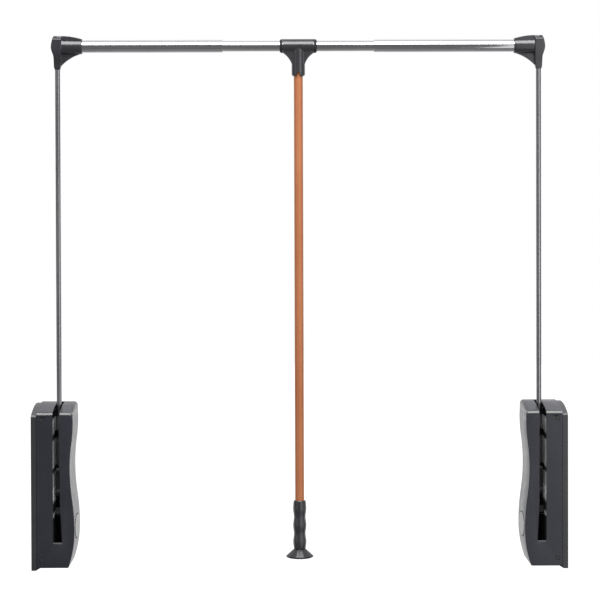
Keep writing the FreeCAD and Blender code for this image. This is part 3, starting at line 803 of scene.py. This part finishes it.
def moulded(name, dark, light, rough, grain=2600.0, depth=0.02, strength=0.5, waviness=0.25, gloss=0.5, highlight_band=None):
    """Moulded plastic: fine eroded grain, slow tone changes, a slightly uneven gloss and a painted highlight along a
    level edge.
    """
    material, tree = new_material(name)
    shader = node(tree, "ShaderNodeBsdfPrincipled")
    shader.inputs["IOR"].default_value = 1.5
    shader.inputs["Specular IOR Level"].default_value = gloss
    slow_tones = ramp(tree, noise_of(tree, 14.0), 0.35, 0.65)
    uneven_gloss = ramp(tree, noise_of(tree, 60.0, 4.0), 0.3, 0.7, *rough)
    waves = noise_of(tree, 45.0, 2.0)
    fine_grain = noise_of(tree, grain, 2.0)
    colour = mix_colours(tree, slow_tones, dark, light)
    # Painted highlight along the rounded top edge, where it catches the key light.
    if highlight_band:
        colour = paint_edge_highlight(tree, colour, *highlight_band)
    link(tree, colour, shader.inputs["Base Color"])
    link(tree, uneven_gloss, shader.inputs["Roughness"])
    finish_shader(tree, shader, [(waves, waviness, 0.1), (fine_grain, strength, depth)])
    return material


def metal(name, dark, light, rough, stretch=(1, 1, 1), scale=900.0, depth=0.008, strength=0.4, metallic=1.0):
    """Plated or bare metal with slow tone changes and fine drawing lines along one axis."""
    material, tree = new_material(name)
    shader = node(tree, "ShaderNodeBsdfPrincipled")
    shader.inputs["Metallic"].default_value = metallic
    slow_tones = ramp(tree, noise_of(tree, 18.0), 0.3, 0.7)
    lines = noise_of(tree, scale, 4.0, stretch)
    link(tree, mix_colours(tree, slow_tones, dark, light), shader.inputs["Base Color"])
    link(tree, ramp(tree, lines, 0.3, 0.7, *rough), shader.inputs["Roughness"])
    finish_shader(tree, shader, [(lines, strength, depth)])
    return material


def copper_finish(name):
    """Satin copper-coloured tube: a warm ground with faint tone waves and lengthwise lines."""
    material, tree = new_material(name)
    shader = node(tree, "ShaderNodeBsdfPrincipled")
    shader.inputs["Metallic"].default_value = 0.25
    shader.inputs["IOR"].default_value = 1.45
    waves = ramp(tree, noise_of(tree, 9.0, 3.0, (1, 1, 0.6)), 0.35, 0.65)
    lines = noise_of(tree, 700.0, 3.0, (1, 1, 0.02))
    link(tree, mix_colours(tree, waves, COPPER_DARK, COPPER_LIGHT), shader.inputs["Base Color"])
    link(tree, ramp(tree, lines, 0.3, 0.7, *COPPER_ROUGH), shader.inputs["Roughness"])
    finish_shader(tree, shader, [(lines, 0.3, 0.01)])
    return material


def guide_finish(name):
    """Plated guide sheet with tones by height that paint light and shade: painted shade at the foot and in dark bands,
    lit stretches between them, and a painted highlight by the pivot.
    """
    material, tree = new_material(name)
    shader = node(tree, "ShaderNodeBsdfPrincipled")
    shader.inputs["Metallic"].default_value = 0.1
    place = axes_of(tree)
    # Tones by height that paint the light and shade inside the slot onto the sheet's colour.
    painted_bands = node(tree, "ShaderNodeValToRGB")
    stops = painted_bands.color_ramp.elements
    while len(stops) < len(GUIDE_LIGHT_AND_SHADE):
        stops.new(1.0)
    for stop, (z, tone) in zip(stops, GUIDE_LIGHT_AND_SHADE):
        stop.position = z / GUIDE_HEIGHT
        stop.color = (tone, tone, tone * 1.02, 1)
    link(tree, ramp(tree, place["Z"], 0, GUIDE_HEIGHT), painted_bands.inputs[0])
    link(tree, painted_bands.outputs[0], shader.inputs["Base Color"])
    lines = noise_of(tree, 900.0, 4.0, (1, 0.05, 1))
    link(tree, ramp(tree, lines, 0.3, 0.7, *GUIDE_ROUGH), shader.inputs["Roughness"])
    # The ramp rises by 1 over 100 mm of depth, so a bump of that many times the slope turns the whole face.
    turned = ramp(tree, place["Y"], -0.05, 0.05)
    finish_shader(tree, shader, [(turned, 1.0, 100 * GUIDE_SLOPE), (lines, 0.4, 0.008)])
    return material


def make_finishes():
    """Materials by the short names of the tables above."""
    finishes = {key: moulded(**values) for key, values in MOULDED.items()}
    finishes.update({key: metal(**values) for key, values in METAL.items()})
    finishes["bright"] = guide_finish("guide_plating")
    finishes["copper"] = copper_finish("copper_finish")
    return finishes


# ---- Stage

def mix_shaders(tree, share, first, second):
    mix = node(tree, "ShaderNodeMixShader")
    for socket, source in zip(mix.inputs, (share, first, second)):
        link(tree, source, socket)
    return mix.outputs[0]


def light_path_mix(tree, rays, seen, unseen):
    """Shader that differs for the rays named."""
    path = node(tree, "ShaderNodeLightPath")
    total = path.outputs[rays[0]]
    for ray in rays[1:]:
        total = maths(tree, "MAXIMUM", total, path.outputs[ray])
    return mix_shaders(tree, total, unseen, seen)


def plain_shader(tree, kind, colour, strength=None):
    made = node(tree, kind)
    feed(tree, made.inputs["Color"], colour)
    if strength is not None:
        made.inputs["Strength"].default_value = strength
    return made.outputs[0]


def make_world():
    """White where the camera looks, an even fill for plain rays, and a studio for glossy ones."""
    world = bpy.data.worlds.new("studio")
    bpy.context.scene.world = world
    world.use_nodes = True
    tree = world.node_tree
    tree.nodes.clear()
    direction = axes_of(tree, "Generated")
    front = mix_colours(tree, ramp(tree, direction["Z"], *TOP_RAMP), STUDIO_DARK, STUDIO_UP)
    band = near_level(tree, direction["Z"], BAND_HEIGHT, *BAND_REACH)
    back = mix_colours(tree, band, STUDIO_WHITE, STUDIO_BAND)
    around = mix_colours(tree, ramp(tree, direction["Y"], *BACK_RAMP), front, back)
    mirrored_studio = plain_shader(tree, "ShaderNodeBackground", around, 1.0)
    fill = plain_shader(tree, "ShaderNodeBackground", WHITE, WORLD_FILL)
    white = plain_shader(tree, "ShaderNodeBackground", WHITE, 1.0)
    unseen = light_path_mix(tree, MIRROR_RAYS, mirrored_studio, fill)
    output = node(tree, "ShaderNodeOutputWorld")
    link(tree, light_path_mix(tree, CAMERA_RAYS, white, unseen), output.inputs["Surface"])


def make_softbox(name, place, aim, width, height, radiance):
    """Area lamp that the camera doesn't see; its energy follows from its radiance and size."""
    lamp = bpy.data.lights.new(name, "AREA")
    lamp.shape = "RECTANGLE"
    lamp.size = width
    lamp.size_y = height
    lamp.energy = radiance * math.pi * width * height
    box = bpy.data.objects.new(name, lamp)
    box.location = place
    box.rotation_euler = (Vector(aim) - Vector(place)).to_track_quat("-Z", "Y").to_euler()
    box.visible_camera = False
    bpy.context.scene.collection.objects.link(box)
    return box


def make_lights():
    """Sloped key light above the user, a softbox to the right, and an upright strip on either side."""
    low, high = (Vector(point) for point in KEY_PLACE)
    middle = (low + high) / 2
    slope = high - low
    facing = Vector((0, slope.z, -slope.y))
    make_softbox("key", middle, middle + facing, KEY_WIDTH, slope.length, KEY_RADIANCE)
    make_softbox("side", SIDE_PLACE, SIDE_AIM, *SIDE_SIZE, SIDE_RADIANCE)
    for row, (place, radiance) in enumerate(STRIPS):
        make_softbox("strip_" + str(row + 1), place, (0, 0, place[2]), *STRIP_SIZE, radiance)


def light_foot(foot):
    """Overhead softbox for the handle's foot alone, which mirrors it in the middle of its cone."""
    box = make_softbox("foot_lamp", FOOT_LAMP_PLACE, (0, 0, 0), *FOOT_LAMP_SIZE, FOOT_LAMP_RADIANCE)
    lit = bpy.data.collections.new("lit_by_foot_lamp")
    lit.objects.link(foot)
    box.light_linking.receiver_collection = lit


def make_floor():
    """Floor that is white to the camera, and to glossy rays dark near the part and white beyond it."""
    floor = add_mesh("floor", FLOOR_CORNERS, [(0, 1, 2, 3)])
    floor.location.z = FLOOR_Z
    material, tree = new_material("floor_white")
    away = ramp(tree, axes_of(tree)["Y"], *FLOOR_RAMP)
    bounced = plain_shader(tree, "ShaderNodeBsdfDiffuse", mix_colours(tree, away, FLOOR_DARK, FLOOR_PALE))
    sweep = plain_shader(tree, "ShaderNodeEmission", STUDIO_WHITE, 1.0)
    mirrored_floor = mix_shaders(tree, away, bounced, sweep)
    seen = node(tree, "ShaderNodeAddShader")
    link(tree, plain_shader(tree, "ShaderNodeBsdfDiffuse", FLOOR_COLOUR), seen.inputs[0])
    link(tree, plain_shader(tree, "ShaderNodeEmission", WHITE, FLOOR_GLOW), seen.inputs[1])
    unseen = light_path_mix(tree, MIRROR_RAYS, mirrored_floor, bounced)
    output = node(tree, "ShaderNodeOutputMaterial")
    link(tree, light_path_mix(tree, CAMERA_RAYS, seen.outputs[0], unseen), output.inputs["Surface"])
    floor.data.materials.append(material)


def make_camera():
    data = bpy.data.cameras.new("camera")
    data.lens = LENS
    data.sensor_width = SENSOR
    data.shift_y = SHIFT_DOWN
    data.clip_end = 100
    camera = bpy.data.objects.new("camera", data)
    camera.location = VIEW_FROM
    aim = (VIEW_AT - VIEW_FROM).to_track_quat("-Z", "Y").to_matrix() @ Matrix.Rotation(math.radians(-ROLL), 3, "Z")
    camera.rotation_euler = aim.to_euler()
    bpy.context.scene.collection.objects.link(camera)
    bpy.context.scene.camera = camera


# ---- Pieces

def paint(piece, material):
    piece.data.materials.clear()
    piece.data.materials.append(material)


def dress(piece, material, body, slot, *nodes):
    """Gives a piece its material and body, and hides the CAD nodes that it stands for; the slot is not used."""
    paint(piece, material)
    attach(piece, body)
    if nodes:
        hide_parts(*nodes)


def elbow_at(along, rise, y=0.0):
    """Place by its distance along the rail, its rise above the rail's axis and its depth."""
    return Vector((-ARM_X + along, PIVOT_Y + y, RAIL_HEIGHT + rise))


def rail_at(x):
    """Place on the rail's axis."""
    return Vector((x, PIVOT_Y, RAIL_HEIGHT))


def rod_at(z):
    """Place on the pull rod's axis."""
    return Vector((0, PIVOT_Y, z))


def elbow_radius(along):
    """Radius of the elbow's barrel, where it is turned."""
    if ELBOW_TURNED[0] < along < ELBOW_TURNED[1]:
        return ELBOW_BARREL[0] + (ELBOW_BARREL[1] - ELBOW_BARREL[0]) * along / ELBOW_MOUTH
    return None


def tee_radius(along):
    """Radius of the tee's barrel, where it is turned."""
    return TEE_BARREL if abs(along) < TEE_HALF + 1 else None


def sleeve_radius(height):
    """Radius of the tee's stem, where it is turned."""
    return TEE_STEM if TEE_SLEEVE[0] < height < TEE_SLEEVE[1] else None


def rounded_end(radius, length, lip):
    """Profile points at the end of a barrel; lip lists (drop of the radius, distance from the end)."""
    return [(radius - drop, length - distance) for drop, distance in lip]


def elbow_piece():
    """Corner moulding: an upright post, the rail's barrel, a rib above it and a thin web below it."""
    span = 2 * ELBOW_REACH
    elbow = prism("elbow", [elbow_at(x, z, -ELBOW_REACH) for x, z in ELBOW_POST], Y_AXIS * span)
    near_side = [elbow_at(-ELBOW_REACH, z, -y) for y, z in ELBOW_SIDE]
    far_side = [elbow_at(-ELBOW_REACH, z, y) for y, z in reversed(ELBOW_SIDE)]
    elbow = combine(elbow, prism("depth", near_side + far_side, X_AXIS * span), "INTERSECT")
    barrel = [(ELBOW_BARREL[0], 0.0)] + rounded_end(ELBOW_BARREL[1], ELBOW_MOUTH, ELBOW_LIP)
    elbow = join_to(elbow, lathe("barrel", barrel, elbow_at(0, 0), X_AXIS))
    roof = [elbow_at(x, z, -ELBOW_ROOF_HALF) for x, z in ((0.0, 0.0), *ELBOW_ROOF, (ELBOW_ROOF[-1][0], 0.0))]
    elbow = join_to(elbow, prism("roof", roof, Y_AXIS * 2 * ELBOW_ROOF_HALF))
    low, knee, high = ELBOW_WEB_EDGE
    edge = [low] + arc(low, knee, high, WEB_STEPS) + [(high[0], 0.0), (0.0, 0.0)]
    elbow = join_to(elbow, prism("web", [elbow_at(x, z, -ELBOW_WEB / 2) for x, z in edge], Y_AXIS * ELBOW_WEB))
    melt(elbow, *ELBOW_MELT)
    true_up(elbow, elbow_at(0, 0), X_AXIS, elbow_radius)
    mouth = elbow_at(ELBOW_MOUTH - ELBOW_SOCKET, 0)
    elbow = cut_from(elbow, drill("mouth", OUTER_TUBE + SOCKET_ROOM, mouth, X_AXIS, ELBOW_SOCKET_CUT))
    sharpen(elbow, MOULDING_CREASE)
    shade_turned(elbow, elbow_at(0, 0), X_AXIS, elbow_radius)
    return elbow


def notch_form():
    """Arched notch in the foot of the tee's stem as a cutter."""
    width, height = TEE_NOTCH
    foot = RAIL_HEIGHT - TEE_DROP
    shoulder = foot + height - width
    outline = [(-width, foot - 1), (width, foot - 1)]
    outline += arc((width, shoulder), (0.0, foot + height), (-width, shoulder), TEE_NOTCH_STEPS)
    return prism("notch", [Vector((x, PIVOT_Y - TEE_STEM - 2, z)) for x, z in outline], Y_AXIS * TEE_STEM)


def tee_piece():
    """Moulding with a barrel round the rail, a stem round the pull rod and a web with a fillet on either side."""
    tee = bar("tee_body", TEE_BARREL, rail_at(-TEE_HALF - TEE_EXTRA), X_AXIS, 2 * (TEE_HALF + TEE_EXTRA))
    stem = lathe("stem", [(TEE_STEM, 0.0)] + rounded_end(TEE_STEM, TEE_DROP, TEE_LIP), rail_at(0), -Z_AXIS)
    web = []
    for side in (-1, 1):
        low, knee, high = [(side * x, RAIL_HEIGHT + z) for x, z in TEE_FILLET]
        web.append([low] + arc(low, knee, high, TEE_FILLET_STEPS) + [(high[0], RAIL_HEIGHT)])
    outline = web[0] + list(reversed(web[1]))
    gusset = prism("gusset", [Vector((x, PIVOT_Y - TEE_GUSSET / 2, z)) for x, z in outline], Y_AXIS * TEE_GUSSET)
    tee = join_to(join_to(tee, stem), gusset)
    melt(tee, *TEE_MELT)
    true_up(tee, rail_at(0), X_AXIS, tee_radius)
    true_up(tee, rod_at(0), Z_AXIS, sleeve_radius)
    tee = combine(tee, block("span", *TEE_BOX), "INTERSECT")
    bore = rail_at(-TEE_HALF - CUT_PAST)
    tee = cut_from(tee, drill("bore", INNER_TUBE + BORE_ROOM, bore, X_AXIS, 2 * (TEE_HALF + CUT_PAST)))
    tee = cut_from(tee, drill("socket", ROD + SOCKET_ROOM, rod_at(ROD_TOP), -Z_AXIS, TEE_SOCKET))
    tee = cut_from(tee, notch_form())
    sharpen(tee, MOULDING_CREASE)
    shade_turned(tee, rail_at(0), X_AXIS, tee_radius)
    shade_turned(tee, rod_at(0), Z_AXIS, sleeve_radius)
    return tee


def collar_piece(side):
    """Collar beside the tee, rounded away from it."""
    profile = [(INNER_TUBE, 0.0)] + [(TEE_BARREL - drop, along) for drop, along in COLLAR_ROUND]
    profile.append((INNER_TUBE, COLLAR_END - COLLAR_START))
    return lathe("collar", profile, rail_at(side * COLLAR_START), X_AXIS * side, closed=True)


def grip_radius(along, length):
    """Radius of the grip without its flutes, by the distance from its top."""
    mean = (GRIP_BULGE + GRIP_NECK) / 2
    swing = (GRIP_BULGE - GRIP_NECK) / 2
    radius = mean - swing * math.cos(math.tau * along / GRIP_PITCH)
    if along < GRIP_PITCH / 2:
        swell = (GRIP_BULGE - GRIP_TOP_RADIUS) * math.sin(math.pi * along / GRIP_PITCH)
        radius = max(radius, GRIP_TOP_RADIUS + swell)
    lip = min(along, GRIP_LIP, length - along)
    return radius - GRIP_LIP_DROP * (1 - lip / GRIP_LIP) ** 2


def grip_piece():
    """Grip with three soft swells and shallow lengthwise flutes."""
    length = GRIP_TOP - GRIP_FOOT
    points = []
    for row in range(GRIP_ROWS + 1):
        along = length * row / GRIP_ROWS
        fade = min(1.0, along / FLUTE_FADE, (length - along) / FLUTE_FADE)
        for step in range(STEPS):
            turn = math.tau * step / STEPS
            flute = FLUTE_DEPTH * fade * (0.5 - 0.5 * math.cos(FLUTES * turn))
            radius = grip_radius(along, length) - flute
            points.append((radius * math.sin(turn), PIVOT_Y - radius * math.cos(turn), GRIP_TOP - along))
    grip = add_mesh("grip", points, sleeve_faces(GRIP_ROWS, STEPS) + end_faces(GRIP_ROWS, STEPS))
    socket = rod_at(GRIP_TOP + CUT_PAST)
    grip = cut_from(grip, drill("socket", ROD + SOCKET_ROOM, socket, -Z_AXIS, GRIP_SOCKET + CUT_PAST))
    sharpen(grip, GRIP_CREASE)
    return grip


def coil_piece():
    """Round-wire spring with closed end coils, from its seat to the plunger."""
    low, high = (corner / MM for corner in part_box("left_spring"))
    axis = (low + high) / 2
    radius = (high.x - low.x) / 2 - WIRE
    rise = high.z - low.z - 2 * WIRE
    closed_pitch = 2 * WIRE + COIL_GAP
    open_turns = COIL_TURNS - 2
    open_pitch = (rise - 2 * closed_pitch) / open_turns
    points = []
    stations = COIL_TURNS * COIL_STEPS
    for station in range(stations + 1):
        turns = station / COIL_STEPS
        opened = min(max(turns - 1, 0), open_turns)
        height = low.z + WIRE + closed_pitch * (turns - opened) + open_pitch * opened
        outward = Vector((math.cos(math.tau * turns), math.sin(math.tau * turns), 0))
        centre = Vector((axis.x, axis.y, height)) + outward * radius
        for corner in range(WIRE_SIDES):
            turn = math.tau * corner / WIRE_SIDES
            points.append(centre + (outward * math.cos(turn) + Z_AXIS * math.sin(turn)) * WIRE)
    coil = add_mesh("coil", points, sleeve_faces(stations, WIRE_SIDES) + end_faces(stations, WIRE_SIDES))
    sharpen(coil, ROUND_CREASE)
    return coil


def squeeze(piece, side, material):
    """Paints a spring that runs from its seat in the housing to the plunger, bakes its place into its points and hides
    the CAD spring.
    """
    paint(piece, material)
    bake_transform(piece)
    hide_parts(side + "_spring")


def screw_piece(name, base, direction):
    """Countersunk screw with a cross recess."""
    rim = SCREW_HEAD / 2
    inwards, along = SCREW_CHAMFER
    profile = ((0.0, 0.0), (rim - inwards, 0.0), (rim, along), (rim, SCREW_THICKNESS), (0.0, SCREW_THICKNESS))
    screw = lathe(name, profile, base, direction, SCREW_STEPS)
    length, width = RECESS
    across, beside = axis_frame(direction)
    for long_way, short_way in ((across * length, beside * width), (beside * length, across * width)):
        corner = base - (long_way + short_way) / 2 - direction * SCREW_SUNK
        outline = [corner, corner + long_way, corner + long_way + short_way, corner + short_way]
        screw = cut_from(screw, prism("recess", outline, direction * (RECESS_DEPTH + SCREW_SUNK)))
    sharpen(screw)
    return screw


def reach_at(path, z):
    """Reach of a path of (reach, z) points at a height."""
    for (reach, low), (next_reach, high) in zip(path, path[1:]):
        if low <= z <= high:
            return reach + (next_reach - reach) * (z - low) / (high - low)
    return path[-1][0]


def oval_piece(name, spread, rise):
    """Plain oval plate lying on the cover's curved inner side; spread widens it all round."""
    foot = (OUTLINE["foot"], COVER_FOOT)
    lower = OUTLINE["lower"]
    path = [foot] + arc(foot, swell_point(foot, lower), lower, OVAL_PATH_STEPS)
    path += s_bend(lower, OUTLINE["waist"], OVAL_PATH_STEPS)
    points = []
    for ring in range(OVAL_RINGS + 1):
        raised = rise if ring < OVAL_RINGS else OVAL_SUNK
        share = min(1.0, ring / (OVAL_RINGS - 1))
        for step in range(STEPS):
            turn = math.tau * step / STEPS
            y = OVAL_CENTRE[0] + share * (OVAL_SIZE[0] / 2 + spread) * math.cos(turn)
            z = OVAL_CENTRE[1] + share * (OVAL_SIZE[1] / 2 + spread) * math.sin(turn)
            points.append((reach_at(path, z) + raised - HALF_WIDTH, y, z))
    plate = add_mesh(name, points, sleeve_faces(OVAL_RINGS, STEPS))
    sharpen(plate)
    return plate


def finish_nodes(finishes):
    """Gives every CAD node the finish of its slot."""
    for part in frame["record"]["subparts"]:
        paint(frame["nodes"][part["node"]], finishes[FINISH_OF_SLOT[part["material_slot"]]])


def build_side(side, sign, finishes, made):
    """Dresses one side with copies of the pieces made for the left, and its two cover screws."""
    def put(key, name, finish, body, slot, *nodes):
        dress(side_copy(made[key], side, sign, name), finishes[finish], side + body, slot, *nodes)

    put("cover", "_cover_shell", "housing", "_housing", "housing_plastic", side + "_cover")
    put("oval", "_oval_plate", "oval", "_housing", "housing_plastic")
    put("seat", "_oval_seat", "rubber", "_housing", "housing_plastic")
    put("elbow", "_corner", "corner", "_frame", "corner_plastic", side + "_elbow")
    put("arm", "_arm_bar", "arm", "_frame", "arm_steel", side + "_arm")
    put("rail", "_outer_rail", "chrome", "_frame", "rail_chrome", side + "_rail_tube")
    squeeze(side_copy(made["coil"], side, sign, "_coil"), side, finishes["wire"])
    for row, height in enumerate(SCREW_HEIGHTS):
        base = Vector((sign * (HALF_WIDTH - SCREW_REACH), FRONT + SCREW_SUNK, height))
        screw = screw_piece(side + "_cover_screw_" + str(row + 1), base, Y_AXIS)
        dress(screw, finishes["casting"], side + "_housing", "pressed_steel")


def build_sides(finishes):
    """Makes the pieces that both sides share, dresses the sides with copies, and removes the first ones."""
    arm_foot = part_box("left_arm")[0].z / MM
    made = {
        "cover": cover_piece(),
        "elbow": elbow_piece(),
        "oval": oval_piece("oval", 0.0, OVAL_RISE),
        "seat": oval_piece("seat", OVAL_SEAT, OVAL_RISE / 2),
        "arm": bar("arm_bar", ARM, Vector((-ARM_X, PIVOT_Y, arm_foot)), Z_AXIS, ARM_TOP - arm_foot),
        "rail": tube("rail", OUTER_TUBE, OUTER_BORE, rail_at(-TUBE_START), X_AXIS, TUBE_START - TUBE_MOUTH),
        "coil": coil_piece(),
    }
    sharpen(made["arm"])
    sharpen(made["rail"])
    for side, sign in SIDES:
        build_side(side, sign, finishes, made)
    for piece in made.values():
        bpy.data.objects.remove(piece)


def build_middle(finishes):
    """Inner rail with its collars, tee, pull rod, grip and foot."""
    inner = tube("inner_rail_tube", INNER_TUBE, INNER_BORE, rail_at(-INNER_HALF), X_AXIS, 2 * INNER_HALF)
    sharpen(inner)
    dress(inner, finishes["chrome"], "inner_rail", "rail_chrome", "inner_rail")
    for side, sign in SIDES:
        collar = collar_piece(sign)
        collar.name = side + "_collar"
        sharpen(collar)
        dress(collar, finishes["collar"], "inner_rail", "corner_plastic")
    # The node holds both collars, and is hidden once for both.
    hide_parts("tee_collars")
    dress(tee_piece(), finishes["corner"], "handle", "corner_plastic", "tee")
    rod = tube("pull_tube", ROD, ROD_BORE, rod_at(ROD_FOOT), Z_AXIS, ROD_TOP - ROD_FOOT)
    sharpen(rod)
    dress(rod, finishes["copper"], "handle", "copper_tube", "pull_rod")
    dress(grip_piece(), finishes["grip"], "handle", "grip_plastic", "handle_grip")
    foot = lathe("foot", FOOT_PROFILE, rod_at(FOOT_Z), Z_AXIS, FINE_STEPS)
    sharpen(foot, ROUND_CREASE)
    dress(foot, finishes["foot"], "handle", "grip_plastic", "handle_foot")
    light_foot(foot)


def build():
    finishes = make_finishes()
    finish_nodes(finishes)
    build_sides(finishes)
    build_middle(finishes)


make_camera()
make_world()
make_lights()
make_floor()
build()
bpy.context.scene.view_settings.view_transform = "Standard"
